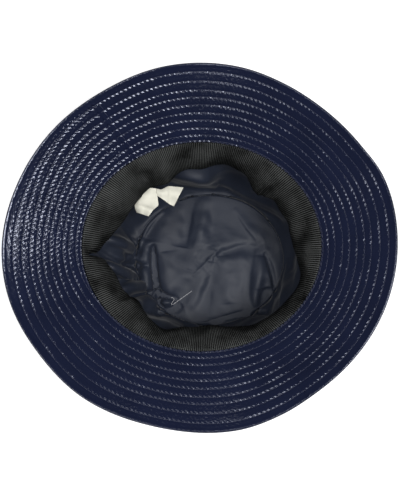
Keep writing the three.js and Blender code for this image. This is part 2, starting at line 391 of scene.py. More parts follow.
# The turned edge, and the fine crinkle of the cloth, which is coarser beside the first seam
edge_bead = 0.15 * mm
edge_bead_width = 1.2 * mm
edge_swell = 0.25 * mm
crinkle_length = 5.0 * mm
crinkle_depth = 0.014 * mm
seam_crinkle = 0.05 * mm
seam_crinkle_at = 134.5
seam_crinkle_reach = 5.0

# Each ply: its columns and rows, how far its shown face and its hidden face lie below the brim's
# upward face, and whether the shown one faces up or down
plies = {
    "under": (620, 128, 0.0, brim_ply, 1),
    "top": (420, 48, 2 * brim_ply + gap, brim_ply + gap, -1),
}

# How far the brim's edge stands out, as a share of its oval, at angles where it waves in and out
brim_waves = (
    (0, 1.0), (14, 1.007), (22, 1.004), (32, 0.98), (48, 0.971), (62, 0.981), (78, 1.0), (100, 0.999),
    (122, 0.974), (140, 0.974), (160, 0.98), (180, 1.0), (196, 1.005), (214, 0.997), (232, 1.007),
    (256, 0.997), (282, 1.011), (296, 0.997), (310, 0.982), (340, 0.992),
)

# How strongly the stitches pucker the cloth, at angles round the brim
pucker_strength = (
    (0, 0.35), (40, 0.35), (70, 0.5), (100, 0.6), (124, 0.6), (134, 0.9), (150, 1.15), (175, 1.25),
    (195, 1.0), (212, 0.6), (235, 0.4), (270, 0.5), (300, 0.4), (330, 0.35),
)

# The spiral's turns, as shares of the brim's width from its edge: where each ends up, and where it
# is pinched. Its start is an angle, and the pinch is in degrees past it.
spiral_start = 130.0
turns_plain = (0.10, 0.216, 0.33, 0.42, 0.52, 0.62, 0.715, 0.82, 0.91, 1.0)
turns_pinched = (0.125, 0.237, 0.338, 0.418, 0.50, 0.588, 0.67, 0.756, 0.832, 0.925)
pinch_from = 45.0
pinch_to = 52.0
spiral_settled = 90.0
ribbon_seam_share = 0.985
row_overlap = 2.0
row_samples = 1600

# How hard the stitches pull: each has its own share, and they swell and sink together along a row
pull_shares = (0.25, 1.3)
pull_swell = 0.6
pull_swell_limits = (-1.4, 1.6)
pull_swell_stitches = 9.0
pulls_listed = 400


def around(table, angle):
    """Smooth values at angles, from a table of angle and value that closes on itself."""
    at, value = np.array(table).T
    at = np.concatenate([at[-2:] - 360, at, at[:2] + 360])
    value = np.concatenate([value[-2:], value, value[:2]])
    slope = np.gradient(value)
    slope[1:-1] = (value[2:] - value[:-2]) / (at[2:] - at[:-2])
    turn = (np.asarray(angle) - at[2]) % 360 + at[2]
    k = np.searchsorted(at, turn, side="right") - 1
    span = at[k + 1] - at[k]
    t = (turn - at[k]) / span
    leaving, arriving, rise = span * slope[k], span * slope[k + 1], value[k + 1] - value[k]
    return (
        value[k]
        + leaving * t
        + (3 * rise - 2 * leaving - arriving) * t**2
        + (leaving + arriving - 2 * rise) * t**3
    )


def brim_frame(angle):
    """Inner points of the brim at angles, with its way out, its reach, slope length and rise."""
    inner = on_oval(opening_oval, angle, gap)
    full = around(brim_waves, angle)
    centre = opening_centre + brim_shift
    outer = on_oval((centre, np.array([brim_length, brim_depth]) / 2), angle)
    outer = centre + (outer - centre) * full[..., None]
    run = outer - inner
    reach = np.linalg.norm(run, axis=-1)
    rise = brim_rise + brim_lift * (brim_reach - reach)
    return inner, run, reach, np.hypot(reach, rise), rise


def brim_point(angle, v, below):
    """Points of the brim, v of the way out and below its upward face. All broadcast together."""
    angle, v, below = np.broadcast_arrays(angle, v, below)
    inner, run, reach, slope, rise = brim_frame(angle)
    flat = inner + run * (v + below * rise / slope / reach)[..., None]
    height = crown_height + v * rise - below * reach / slope
    return np.concatenate([flat, height[..., None]], axis=-1)


def eased(share):
    """0 to 1, level at both ends."""
    share = np.clip(share, 0, 1)
    return share * share * (3 - 2 * share)


def walked_along(line):
    """Lengths along a line of points, from its start to each."""
    return np.concatenate([[0], np.cumsum(np.linalg.norm(np.diff(line, axis=0), axis=1))])


class StitchRow:
    """One turn of the spiral, or the row beside the ribbon where turn is None."""

    def __init__(self, turn, seed):
        self.turn = turn
        self.pull = np.random.default_rng(seed).uniform(*pull_shares, pulls_listed)
        swell = ripples(np.arange(float(pulls_listed))[:, None], pull_swell_stitches, seed + 100)
        self.pull *= 1 + pull_swell * np.clip(swell, *pull_swell_limits)
        self.angles = np.linspace(first_seam - row_overlap, first_seam + 360 + row_overlap, row_samples)
        self.lengths = walked_along(brim_point(self.angles, 1 - self.share(self.angles), 0.0))

    @staticmethod
    def counted_on(angle):
        """Angles counted on from the start of the row."""
        return (angle - first_seam + row_overlap) % 360 + first_seam - row_overlap

    def share(self, angle):
        """Where the row lies, as a share of the brim's width from its edge."""
        if self.turn is None:
            return np.full(np.shape(angle), ribbon_seam_share)
        sweep = self.counted_on(angle) - spiral_start
        begin = turns_plain[max(self.turn - 1, 0)]
        pinched, end = turns_pinched[self.turn], turns_plain[self.turn]
        settle = (sweep - pinch_to) / (spiral_settled - pinch_to)
        return begin + (pinched - begin) * eased(sweep / pinch_from) + (end - pinched) * eased(settle)

    def length(self, angle):
        """Length along the row from its start to an angle."""
        return np.interp(self.counted_on(angle), self.angles, self.lengths)


stitch_rows = [StitchRow(turn, seed=40 + turn) for turn in range(len(turns_plain))]
stitch_rows.append(StitchRow(None, seed=60))


def quilting(angle, v):
    """Relief of the quilted cloth at columns of angles and rows of v, below 0 in the stitching."""
    width = brim_frame(angle)[3]
    strength = around(pucker_strength, angle)
    deepest = np.zeros((len(v), len(angle)))
    puckers = np.zeros_like(deepest)
    for row in stitch_rows:
        off = (v[:, None] - 1 + row.share(angle)) * width
        place = (row.length(angle) + stitch_slant * off) / stitch_pitch
        stitch = np.round(place)
        from_hole = (place - stitch) * stitch_pitch
        pull = row.pull[stitch.astype(int) % len(row.pull)] * strength
        groove = groove_depth * bell(off / groove_width)
        hole = bell(from_hole / hole_length) * bell(off / hole_reach)
        deepest = np.maximum(deepest, groove + hole_depth * pull * hole)
        puckers += pucker_depth * strength * bell(off / pucker_reach) * np.cos(2 * math.pi * place)
    edge = (1 - v[:, None]) * width
    bead = edge_bead * bell((edge - edge_bead_width) / edge_bead_width)
    radius = opening_radius + v[:, None] * brim_reach
    run = np.radians(angle) * radius
    place = np.stack([run, np.broadcast_to(v[:, None] * width, run.shape)], axis=-1)
    beside = bell(turned(angle, seam_crinkle_at) / seam_crinkle_reach)
    crinkles = (crinkle_depth * strength + seam_crinkle * beside) * ripples(place, crinkle_length, seed=8)
    return bead - deepest - puckers - seam_fall(angle, radius) + crinkles


brim_vinyl = vinyl("brim vinyl", 0.17 * mm)


def brim_ply_rows(angle, rows, shown, hidden, facing):
    """Rows of points round one ply: its quilted face, its turned edge and its plain back."""
    v = np.linspace(0, 1, rows)
    relief = quilting(angle, v)
    outer = [brim_point(angle, step, shown - facing * deep) for step, deep in zip(v, relief)]
    swell = edge_swell / brim_reach
    turned_edge = [
        brim_point(angle, 1 + swell * math.sin(math.pi * share), shown + (hidden - shown) * share)
        for share in (0.25, 0.5, 0.75)
    ]
    back = [brim_point(angle, step, hidden) for step in np.linspace(1, 0, ply_back_rows)]
    return outer + turned_edge + back


for half, (start, end) in halves.items():
    for name, (columns, rows, shown, hidden, facing) in plies.items():
        angle = np.linspace(start, end, columns + 1)
        points = brim_ply_rows(angle, rows, shown, hidden, facing)
        ply = skin(f"brim_{name}_{half}_vinyl", points, brim_vinyl, crisp=70)
        sew_in(ply, "vinyl", f"brim_{name}_{half}")

# Brim stitching: navy polyester thread. Each stitch is a short bowed length that lies in its groove
# and dives into the cloth at both ends.
thread_radius = 0.26 * mm
thread_sunk = 0.1
thread_dive = 0.4 * mm
thread_sides = 5
thread_dark = (0.012, 0.016, 0.042, 1)
thread_light = (0.03, 0.036, 0.075, 1)

# Sections of a stitch: share of the way along it, size, and rise as a share of the thread's dive
stitch_stations = ((0.0, 0.7, -1.0), (0.28, 1.0, 0.35), (0.72, 1.0, 0.35), (1.0, 0.7, -1.0))


def navy_thread():
    finish = Finish("navy thread")
    twist = finish.noise(2600.0)
    return finish.cover(
        Base_Color=finish.between(twist, thread_dark, thread_light),
        Roughness=0.35 + 0.2 * twist,
        Normal=finish.bumped(twist, 0.05 * mm),
    )


def unit(ways):
    """Directions of vectors, each 1 long."""
    return ways / np.linalg.norm(ways, axis=-1)[..., None]


def stitches(holes, facing):
    """Points and faces of the stitches between holes, which face along unit vectors."""
    start, end = holes[:-1], holes[1:]
    up = facing[:-1]
    side = unit(np.cross(up, end - start))
    turns = np.arange(thread_sides) * 2 * math.pi / thread_sides
    rings = []
    for t, size, lift in stitch_stations:
        centre = start + (end - start) * t + up * lift * thread_dive
        ring = up[:, None] * np.cos(turns)[:, None] + side[:, None] * np.sin(turns)[:, None]
        rings.append(centre[:, None] + thread_radius * size * ring)
    points = np.stack(rings, axis=1)
    per_stitch = len(stitch_stations) * thread_sides
    local = []
    for ring in range(len(stitch_stations) - 1):
        for k in range(thread_sides):
            a, b = ring * thread_sides + k, ring * thread_sides + (k + 1) % thread_sides
            local.append((a, b, b + thread_sides, a + thread_sides))
    caps = [tuple(range(thread_sides))[::-1], tuple(range(per_stitch - thread_sides, per_stitch))]
    firsts = np.arange(len(start)) * per_stitch
    faces = [[first + k for k in face] for first in firsts.tolist() for face in local + caps]
    return points.reshape(-1, 3), faces


def joined(parts):
    """Several sets of points and faces as one set."""
    points, faces, count = [], [], 0
    for some_points, some_faces in parts:
        points.append(some_points)
        faces += [[count + k for k in face] for face in some_faces]
        count += len(some_points)
    return np.concatenate(points), faces


def row_holes(row, below, facing):
    """Holes of one stitch row and the way that its stitches face."""
    count = int(row.lengths[-1] / stitch_pitch)
    angle = np.interp(np.arange(2, count) * stitch_pitch, row.lengths, row.angles)
    inner, run, reach, slope, rise = brim_frame(angle)
    level = run * (rise / slope / reach)[:, None]
    up = unit(np.column_stack([-level / slope[:, None], reach / slope]))
    seat = below + facing * (groove_depth - thread_sunk * thread_radius)
    return brim_point(angle, 1 - row.share(angle), seat), facing * up


thread = navy_thread()
for name, (_, _, shown, _, facing) in plies.items():
    points, faces = joined([stitches(*row_holes(row, shown, facing)) for row in stitch_rows])
    sew_in(solid(f"brim_{name}_stitching", points, faces, thread), "vinyl")

# Crown topstitching: the same thread, in one row round the foot of the side and in two rows beside
# each of its seams, where it holds the seam allowances down.
foot_row_level = 0.05
foot_row_points = 1600
seam_row_degrees = 3.0
seam_row_levels = (0.08, 0.97)
seam_row_points = 400
wall_lean = 0.3
stitch_stand = 0.1 * mm


def wall_stitches(angle, level):
    """Stitches along a line of many points of the crown's side, which face away from the crown."""
    line = side_point(angle, level, vinyl_wall)
    walked = walked_along(line)
    stops = np.arange(0, walked[-1], stitch_pitch)
    holes = np.stack([np.interp(stops, walked, column) for column in line.T], axis=1)
    angle = np.interp(stops, walked, np.broadcast_to(angle, len(line)))
    away = unit(np.column_stack([outward(angle), np.full(len(stops), -wall_lean)]))
    return stitches(holes + stitch_stand * away, away)


parts = [wall_stitches(np.linspace(0, 360, foot_row_points), np.full(foot_row_points, foot_row_level))]
rising = np.linspace(*seam_row_levels, seam_row_points)
for seam in (first_seam, second_seam):
    for aside in (-seam_row_degrees, seam_row_degrees):
        parts.append(wall_stitches(np.full(seam_row_points, seam + aside), rising))
sew_in(solid("crown_stitching", *joined(parts), thread), "vinyl")

# Lining: a loose bag of dark satin, an oval tip sewn to a tall side. It is cut larger than the
# crown, so it slumps and crumples in it. It is sewn in by its upper edge, under the ribbon.
lining_inset = 8 * mm
lining_foot = 4.4 * mm
lining_rest = 5.6 * mm
lining_hem = 3 * mm
lining_top = crown_height - lining_hem
lining_seam = 12 * mm
satin_thickness = 0.5 * mm
satin_dark = (0.0146, 0.0190, 0.0318, 1)
satin_light = (0.0215, 0.0270, 0.0432, 1)
lining_spare = 0.025
lining_softness = 1.0 * mm
slump_frames = 20
slump_columns = 192
tip_rings = 34
side_rings = 34
finer_columns = 2
finer_rings = 3
back_step = 4

# How the buckled cloth is held back: the farthest that it moves, in all and outward, the passes of
# ironing, and the waves that are kept round the rings of the tip
slump_cap = 5 * mm
slump_outward = 0.4 * mm
ironing = 2
middle_waves = 2
waves_per_ring = 0.8

# The folds: the shares of their height from before and after the buckling, how they fade at the
# side's foot and hem, and the room behind the side for the ones that stand out
first_share = 0.6
fold_share = 0.5
fold_smoothing = 2
foot_fade = 0.05
hem_fade = 0.3
room_at_hem = 0.4 * mm
room_margin = 2 * mm

# The satin as simulated cloth, held by its hem. It shrinks by less than nothing, which is to grow.
satin_cloth = {
    "vertex_group_mass": "held",
    "quality": 6,
    "mass": 0.05,
    "air_damping": 2.0,
    "tension_stiffness": 10.0,
    "compression_stiffness": 10.0,
    "shear_stiffness": 4.0,
    "bending_stiffness": 3.0,
    "shrink_min": -lining_spare,
}

# The camera, with which the folds are laid where the photograph shows them
photo_size = np.array([400, 500])
camera_target = np.array([0.46, -1.42, 88.0]) * mm
camera_tilt = math.radians(4)
camera_distance = 900 * mm
camera_lens = 99.87
camera_sensor = 36.0
camera_back = np.array([0, -math.sin(camera_tilt), math.cos(camera_tilt)])
camera_up = np.array([0, math.cos(camera_tilt), math.sin(camera_tilt)])
camera_eye = camera_target + camera_distance * camera_back
pixel_spread = camera_sensor / camera_lens / photo_size[0]

# Folds of the lining, each along a line through pixels of the photograph: height in millimetres, half
# width in pixels, and how many times steeper the fold is on its right than on its left
lining_folds = (
    (((172, 176), (190, 177), (218, 184)), 4.4, 7.0, 1.6),
    (((166, 182), (184, 189), (206, 192), (232, 193)), -3.6, 3.4, 0.5),
    (((212, 168), (232, 175), (254, 184)), -3.6, 9.0, 1.0),
    (((224, 184), (250, 196), (284, 212)), 2.2, 5.5, 1.6),
    (((217, 186), (238, 200), (264, 213), (288, 224)), -3.2, 3.4, 0.5),
    (((187, 190), (191, 204), (189, 222), (184, 248)), -3.2, 4.4, 0.45),
    (((204, 192), (203, 224), (196, 246), (188, 270)), 2.6, 8.0, 1.0),
    (((215, 192), (214, 222), (210, 250)), -1.6, 6.5, 1.0),
    (((234, 208), (246, 226), (260, 245)), 1.6, 8.0, 3.0),
    (((216, 255), (238, 248), (262, 240)), -2.4, 5.0, 0.5),
    (((220, 248), (207, 261), (192, 276)), 0.9, 3.4, 2.0),
    (((212, 262), (208, 288), (205, 316)), -1.8, 6.0, 0.6),
    (((222, 256), (226, 278), (228, 304)), 1.2, 8.0, 1.0),
    (((253, 246), (249, 272), (247, 296), (250, 318)), -3.0, 5.0, 0.5),
    (((261, 256), (259, 280), (254, 308)), 2.6, 6.0, 1.0),
    (((264, 252), (271, 270), (276, 298)), -3.0, 3.4, 2.0),
    (((265, 288), (267, 305), (268, 324)), -4.4, 7.0, 1.0),
    (((180, 330), (206, 325), (236, 315), (268, 310)), -6.0, 2.6, 1.4),
    (((147, 240), (144, 262), (145, 278), (149, 302)), 4.6, 7.0, 1.2),
    (((153, 244), (154, 268), (157, 288), (161, 316)), -8.0, 2.6, 0.8),
    (((164, 252), (167, 278), (171, 304)), 2.0, 8.0, 1.0),
    (((118, 290), (132, 288), (144, 286)), 7.0, 5.0, 1.0),
    (((120, 301), (136, 295), (148, 293), (160, 294), (178, 300)), -6.0, 3.0, 1.3),
    (((134, 302), (154, 303), (174, 303)), 3.4, 4.0, 1.0),
    (((128, 300), (141, 308), (155, 313), (166, 312), (182, 305)), -4.0, 3.2, 0.6),
    (((144, 318), (162, 322), (184, 327)), 2.6, 5.5, 1.0),
    (((136, 258), (142, 238), (150, 223), (164, 210)), 2.8, 5.5, 2.0),
    (((120, 218), (131, 235), (140, 254)), -4.6, 3.4, 0.6),
    (((127, 206), (133, 222), (139, 240)), -4.0, 6.5, 1.0),
    (((104, 238), (119, 244), (134, 250)), 12.0, 7.0, 1.4),
    (((94, 246), (108, 257), (122, 264), (134, 266), (148, 265)), -6.0, 3.0, 0.8),
    (((127, 256), (134, 258), (143, 260)), 2.8, 3.0, 1.0),
    (((104, 264), (119, 272), (134, 281)), 12.0, 5.5, 1.4),
    (((117, 280), (130, 286), (145, 292)), 3.6, 6.5, 1.0),
    (((287, 220), (291, 244), (290, 272)), -3.0, 5.0, 1.0),
    (((288, 258), (285, 282), (279, 308)), 2.2, 4.5, 2.0),
    (((172, 202), (166, 226), (154, 254)), 1.8, 10.0, 1.0),
)

# Small crumples and long soft creases between those folds: heights in millimetres, and lengths
lining_crumple = 0.12
lining_crumple_length = 13 * mm
lining_crease = 0.3
lining_crease_length = 34 * mm


def seen_at(pixel, height):
    """The point at a height that the camera sees at a pixel of the photograph."""
    across, down = (pixel - photo_size / 2) * pixel_spread
    ray = np.array([across, 0, 0]) - down * camera_up - camera_back
    return camera_eye + ray * (height - camera_eye[2]) / ray[2]


def pixel_of(places):
    """The photograph's pixels at which the camera sees an array of places."""
    seen = places - camera_eye
    pixel_width = -(seen @ camera_back) * pixel_spread
    from_middle = np.stack([seen[..., 0], -(seen @ camera_up)], axis=-1)
    return photo_size / 2 + from_middle / pixel_width[..., None]


def fold_height(spots, line, steepness, wide):
    """Height from 0 to 1 of a fold along a line, tapered to its ends, at an array of spots."""
    line = np.array(line, dtype=float)
    for _ in range(fold_smoothing):
        a, b = line[:-1], line[1:]
        quarters = np.stack([0.75 * a + 0.25 * b, 0.25 * a + 0.75 * b], axis=1)
        line = np.concatenate([line[:1], quarters.reshape(-1, 2), line[-1:]])
    walked = walked_along(line)
    nearest = np.full(spots.shape[:-1], np.inf)
    along = np.zeros(spots.shape[:-1])
    for start, end, before, after in zip(line, line[1:], walked, walked[1:]):
        way = end - start
        t = np.clip((spots - start) @ way / (way @ way), 0, 1)
        off = spots - start - t[..., None] * way
        distance = np.linalg.norm(off, axis=-1) / wide
        right = way[0] * off[..., 1] - way[1] * off[..., 0] > 0
        distance = np.where(right, distance * steepness, distance)
        along = np.where(distance < nearest, (before + t * (after - before)) / walked[-1], along)
        nearest = np.minimum(distance, nearest)
    return np.sqrt(4 * along * (1 - along)) / (1 + nearest**2) ** 1.5


def lining_relief(places):
    """How far the lining stands in from its smooth surface at an array of places on it."""
    spots = pixel_of(places)
    relief = sum(high * fold_height(spots, line, steep, wide) for line, high, wide, steep in lining_folds)
    crumples = lining_crumple * ripples(places, lining_crumple_length, seed=11)
    creases = lining_crease * (1 - abs(ripples(places, lining_crease_length, seed=12)))
    return (relief + (crumples + creases)) * mm


def satin():
    """Dark navy satin: a fine close weave with a soft sheen."""
    finish = Finish("lining satin")
    cloud = finish.noise(45.0, 3.0)
    slub = finish.noise(1800.0)
    return finish.cover(
        Base_Color=finish.between(cloud, satin_dark, satin_light),
        Roughness=0.46 + 0.08 * slub,
        IOR=1.35,
        Sheen_Weight=0.1,
        Sheen_Roughness=0.4,
        Normal=finish.bumped(slub, 0.04 * mm),
    )


lining_satin = satin()

# Folds in the columns of side_dents, inward from the dents that the lining shares with the wall
lining_puffs = (
    (96, 13, 0.42, 0.16, 0.08),
    (140, 10, 0.3, 0.2, 0.05),
    (184, 8, 0.34, 0.2, 0.09),
    (214, 12, 0.3, 0.18, 0.05),
    (262, 16, 0.28, 0.16, 0.05),
    (330, 12, 0.26, 0.16, 0.04),
    (25, 14, 0.3, 0.2, 0.05),
)
lining_oval = (tip_oval[0], tip_oval[1] - lining_inset - lining_wall)
around_lining = np.arange(slump_columns) * 360 / slump_columns


def hung_tip(out):
    """One ring of the lining's tip as it is cut and hung, out of the way from its middle."""
    flat = tip_oval[0] + out * (on_oval(lining_oval, around_lining) - tip_oval[0])
    rest = np.full(slump_columns, lining_rest + (lining_foot - lining_rest) * out**4)
    smooth = np.column_stack([flat, rest])
    return np.column_stack([flat, rest + first_share * lining_relief(smooth)])


def hung_side(level):
    """One ring of the lining's side as it is cut and hung, level of the way up."""
    angle, level = np.broadcast_arrays(around_lining, level)
    depth = side_dent(side_dents, angle, level) + side_dent(lining_puffs, angle, level)
    cut = (lining_foot, -lining_inset - lining_wall, wall_standoff - lining_clearance - lining_wall)
    smooth = wall_point(angle, level, *cut, depth, lining_top)
    fade = eased(level / foot_fade) * eased((1 - level) / hem_fade)
    return wall_point(angle, level, *cut, depth + first_share * lining_relief(smooth) * fade, lining_top)


def slumped(rings):
    """The rings of a bag after its cloth has grown by lining_spare and buckled."""
    bag = skin("lining_bag", rings, lining_satin, round_trip=True, looped=False)
    count = len(bag.data.vertices)
    held = bag.vertex_groups.new(name="held")
    held.add(range(count - 2 * slump_columns, count), 1.0, "REPLACE")
    cloth = bag.modifiers.new("cloth", "CLOTH")
    for name, value in satin_cloth.items():
        setattr(cloth.settings, name, value)
    cloth.settings.effector_weights.gravity = 0.0
    cloth.collision_settings.use_collision = False
    scene = bpy.context.scene
    for frame_number in range(1, slump_frames + 1):
        scene.frame_set(frame_number)
    settled = bag.evaluated_get(bpy.context.evaluated_depsgraph_get()).to_mesh()
    points = np.empty(3 * count)
    settled.vertices.foreach_get("co", points)
    scene.frame_set(1)
    bpy.data.objects.remove(bag)
    return points.reshape(-1, 3)


def finer(points, times, closed):
    """Points along a smooth curve through rows of points, with times as many steps."""
    if closed:
        points = np.concatenate([points[-1:], points, points[:2]])
    else:
        points = np.concatenate([2 * points[:1] - points[1:2], points, 2 * points[-1:] - points[-2:-1]])
    a, b, c, d = points[:-3], points[1:-2], points[2:-1], points[3:]
    steps = [smooth_between(a, b, c, d, step / times) for step in range(times)]
    curve = np.stack(steps, axis=1).reshape(-1, *points.shape[1:])
    return curve if closed else np.concatenate([curve, points[-2:-1]])


# The bag is hung as it was cut, grows and buckles. What the growth moved is then held back where it
# is far or points outward, and smoothed round the middle of the tip.
rings = [hung_tip(0.0)[:1]] + [hung_tip(out) for out in np.linspace(0, 1, tip_rings + 1)[1:]]
rings += [hung_side(level) for level in np.linspace(0, 1, side_rings + 1)[1:]]
hung = np.concatenate([np.repeat(rings[0], slump_columns, axis=0), *rings[1:]])
hung = hung.reshape(-1, slump_columns, 3)
settled = slumped(rings)
settled = np.concatenate([np.repeat(settled[:1], slump_columns, axis=0), settled[1:]])
moved = settled.reshape(hung.shape) - hung
moved *= (slump_cap / np.hypot(slump_cap, np.linalg.norm(moved, axis=-1)))[..., None]
from_middle = hung[..., :2] - tip_oval[0]
from_middle /= np.linalg.norm(from_middle, axis=-1)[..., None] + 1e-9
too_far = np.maximum(np.einsum("ijk,ijk->ij", moved[..., :2], from_middle) - slump_outward, 0)
moved[..., :2] -= too_far[..., None] * from_middle
for _ in range(ironing):
    moved[1:-1] = (moved[:-2] + 2 * moved[1:-1] + moved[2:]) / 4
    moved = (np.roll(moved, 1, axis=1) + 2 * moved + np.roll(moved, -1, axis=1)) / 4
for ring in range(1, tip_rings):
    waves = np.fft.rfft(moved[ring], axis=0)
    waves[int(middle_waves + waves_per_ring * ring):] = 0
    moved[ring] = np.fft.irfft(waves, slump_columns, axis=0)
moved[0] = moved[1].mean(axis=0)


def facing_of(cloth):
    """Directions in which a grid of points from the middle of the bag faces, into its hollow."""
    along = np.roll(cloth, -1, axis=1) - np.roll(cloth, 1, axis=1)
    facing = np.cross(np.gradient(cloth, axis=0), along)
    facing[0] = facing[1].mean(axis=0)
    return unit(facing) * np.sign(facing[0, 0, 2])


# The buckled bag is taken up in finer steps, gets its folds, and is given its thickness behind.
bag = finer(hung + moved, finer_rings, closed=False)
bag = finer(bag.transpose(1, 0, 2), finer_columns, closed=True).transpose(1, 0, 2)
level = np.clip((np.arange(len(bag)) / finer_rings - tip_rings) / side_rings, 0, 1)[:, None]
side_room = room_at_hem + (lining_inset - room_margin) * (1 - level) ** 1.5
room = np.where(level > 0, side_room, lining_inset)
fold = np.maximum(fold_share * lining_relief(bag), -room) * eased((1 - level) / hem_fade)
bag += fold[..., None] * facing_of(bag)
lowest = vinyl_wall + gap + satin_thickness
above = bag[..., 2] - lowest
bag[..., 2] = lowest + (above + np.hypot(above, lining_softness)) / 2
rim = tip_rings * finer_rings
behind = bag - satin_thickness * facing_of(bag)

tip_rows = [bag[0, 0]] + list(bag[1:rim + 1]) + list(behind[rim:0:-back_step]) + [behind[0, 0]]
tip_lining = skin("lining_tip_satin", tip_rows, lining_satin, round_trip=True, looped=False)
sew_in(tip_lining, "lining", "lining_tip")
tip_lining_flat = 2 * (tip_oval[1] - lining_inset) + lining_seam
float(tip_lining_flat[0] * tip_lining_flat[1] * math.pi / 4)
side_rows = list(bag[rim:]) + list(behind[:rim:-back_step])
side_lining = skin("lining_side_satin", side_rows, lining_satin, round_trip=True)
sew_in(side_lining, "lining", "lining_side")

# Labels: two short lengths of soft white tape, bare, folded and sewn in under the ribbon at the
# first seam, from where they fan out over the lining.
label_thickness = 0.4 * mm
label_across = 12
label_along = 18
label_curl = 1.6 * mm
label_bow = 1.2 * mm
label_curl_from = 0.15
label_crease = 1.4 * mm
label_crease_at = 0.55
label_crease_slant = 0.2
label_crease_width = 0.07
knot_smoothing = 0.03
tape_white = (0.86, 0.84, 0.73, 1)
tape_stain = (0.64, 0.63, 0.54, 1)

# Edges of each label in pixels of the photograph from its sewn end to its free end, and its height
# in millimetres at each of those places
label_shapes = {
    "left": (
        ((149.9, 187.8), (141.9, 195.1), (134.5, 203.8), (135.0, 208.5), (136.5, 212.5)),
        ((156.0, 188.4), (157.3, 195.8), (158.6, 205.2), (152.6, 210.5), (148.6, 216.3)),
        (74, 75, 72, 70, 67),
    ),
    "right": (
        ((156.2, 188.4), (161.3, 189.8), (168.0, 186.1), (176.0, 186.7), (183.4, 187.5)),
        ((157.3, 195.8), (161.5, 198.5), (165.3, 201.1), (169.5, 204.2), (174.0, 206.2)),
        (74, 75, 74, 72, 70),
    ),
}


def along_line(knots, share):
    """Points at shares of the way along a list of knots, smoothed at each."""
    columns = np.array(knots, dtype=float).T
    at = np.linspace(0, 1, len(knots))
    near = [np.clip(share + step, 0, 1) for step in (-knot_smoothing, 0, knot_smoothing)]
    soft = [np.mean([np.interp(place, at, column) for place in near], axis=0) for column in columns]
    exact = [np.interp(share, at, column) for column in columns]
    return np.where(np.minimum(share, 1 - share) < knot_smoothing, exact, soft).T


def label_grid(left, right, heights):
    """Rows of points of a label's face, from its sewn to its free end."""
    share = np.linspace(0, 1, label_along)
    left, right = along_line(left, share), along_line(right, share)
    level = np.interp(share, np.linspace(0, 1, len(heights)), heights) * mm
    across = np.linspace(0, 1, label_across)
    bow = label_bow * np.sin(math.pi * across)
    rows = []
    for t, a, b, z in zip(share, left, right, level):
        curl = label_curl * t * np.sin(2 * math.pi * (across - label_curl_from))
        from_crease = t - label_crease_at - label_crease_slant * across
        crease = label_crease * bell(from_crease / label_crease_width)
        height = z + (curl + bow) - crease
        rows.append(np.array([seen_at(a + (b - a) * s, up) for s, up in zip(across, height)]))
    return rows


def white_tape():
    finish = Finish("white label tape")
    stain = finish.noise(160.0, 3.0)
    weave = finish.noise(2200.0)
    return finish.cover(
        Base_Color=finish.between(stain, tape_white, tape_stain),
        Roughness=0.75,
        Sheen_Weight=0.3,
        Normal=finish.bumped(weave, 0.08 * mm),
    )


label_white = white_tape()
for side, shape in label_shapes.items():
    face = label_grid(*shape)
    back = [row - np.array([0, 0, label_thickness]) for row in face[::-1]]
    label = skin(f"label_{side}_tape", face + back, label_white, crisp=60)
    sew_in(label, "label", f"label_{side}")

# Sweatband: black grosgrain ribbon, ribbed across its length, sewn round the opening by one edge.
# Its other edge stands free over the hollow, in and out, and is pinched back at the left.
ribbon_width = 30 * mm
ribbon_wall = 1.1 * mm
ribbon_top = crown_height - gap
rib_pitch = 1.7 * mm
rib_height = 0.28 * mm
rib_columns = 5
ribbon_rows = 22
ribbon_back_rows = 8
ribbon_back_lift = 0.3 * mm
ribbon_bow = 3.4 * mm
ribbon_wave = 0.9 * mm
ribbon_wave_length = 38 * mm
ribbon_loosening = 1.6
pick_pitch = 0.55 * mm
# Ribbon colours: painted shade in the furrows between the ribs, and painted highlight on the rib crests
ribbon_painted_furrow_shade = (0.0004, 0.0004, 0.0004, 1)
ribbon_painted_crest_light = (0.100, 0.105, 0.104, 1)

# How far the free edge leans in over the hollow, as a share of the ribbon's width
ribbon_leans = (
    (1, 0.7), (17, 0.67), (32, 0.73), (42, 0.87), (52, 0.71), (64, 0.5), (72, 0.42), (82, 0.48),
    (92, 0.6), (108, 0.67), (120, 0.9), (135, 0.84), (150, 0.95), (164, 0.92), (172, 0.72), (181, 0.4),
    (188, 0.54), (198, 0.65), (218, 0.73), (229, 0.59), (245, 0.45), (259, 0.58), (272, 0.69),
    (290, 0.54), (302, 0.41), (318, 0.33), (344, 0.32), (354, 0.54),
)

# Dents of the ribbon away from the hollow: place and width in degrees, share of the way to the free
# edge and spread, and depth in millimetres
ribbon_dents = (
    (183.5, 1.7, 0.6, 0.9, 8.0),
    (129.5, 4.2, 0.6, 0.34, 8.5),
    (118, 4.0, 0.75, 0.35, -3.0),
    (40.6, 0.9, 0.9, 0.7, 2.0),
    (43.0, 1.0, 0.9, 0.7, -2.0),
    (214, 1.2, 0.8, 0.5, 1.8),
    (13, 7.0, 0.35, 0.22, 4.2),
    (11, 5.5, 0.88, 0.2, -3.6),
    (72, 6.0, 0.8, 0.4, 2.0),
    (303, 5.0, 0.7, 0.4, 1.5),
    (245, 5.0, 0.8, 0.4, 1.5),
    (165, 5.0, 0.9, 0.3, 1.8),
)


def ribbon_point(angle, v, above):
    """Points of the ribbon, v of the way to its free edge and above its hidden face."""
    angle, v, above = np.broadcast_arrays(angle, v, above)
    reach = ribbon_width * around(ribbon_leans, angle)
    drop = np.sqrt(ribbon_width**2 - reach**2)
    dent = dented(ribbon_dents, angle, v) * mm
    run = np.radians(angle)[..., None] * opening_radius
    wave = ribbon_wave * ripples(run, ribbon_wave_length, seed=31)
    lift = above + ribbon_bow * np.sin(math.pi * v) + (wave - dent) * eased(ribbon_loosening * v)
    flat = on_oval(opening_oval, angle, -v * reach - lift * drop / ribbon_width)
    height = ribbon_top - v * drop + lift * reach / ribbon_width
    return np.concatenate([flat, height[..., None]], axis=-1)


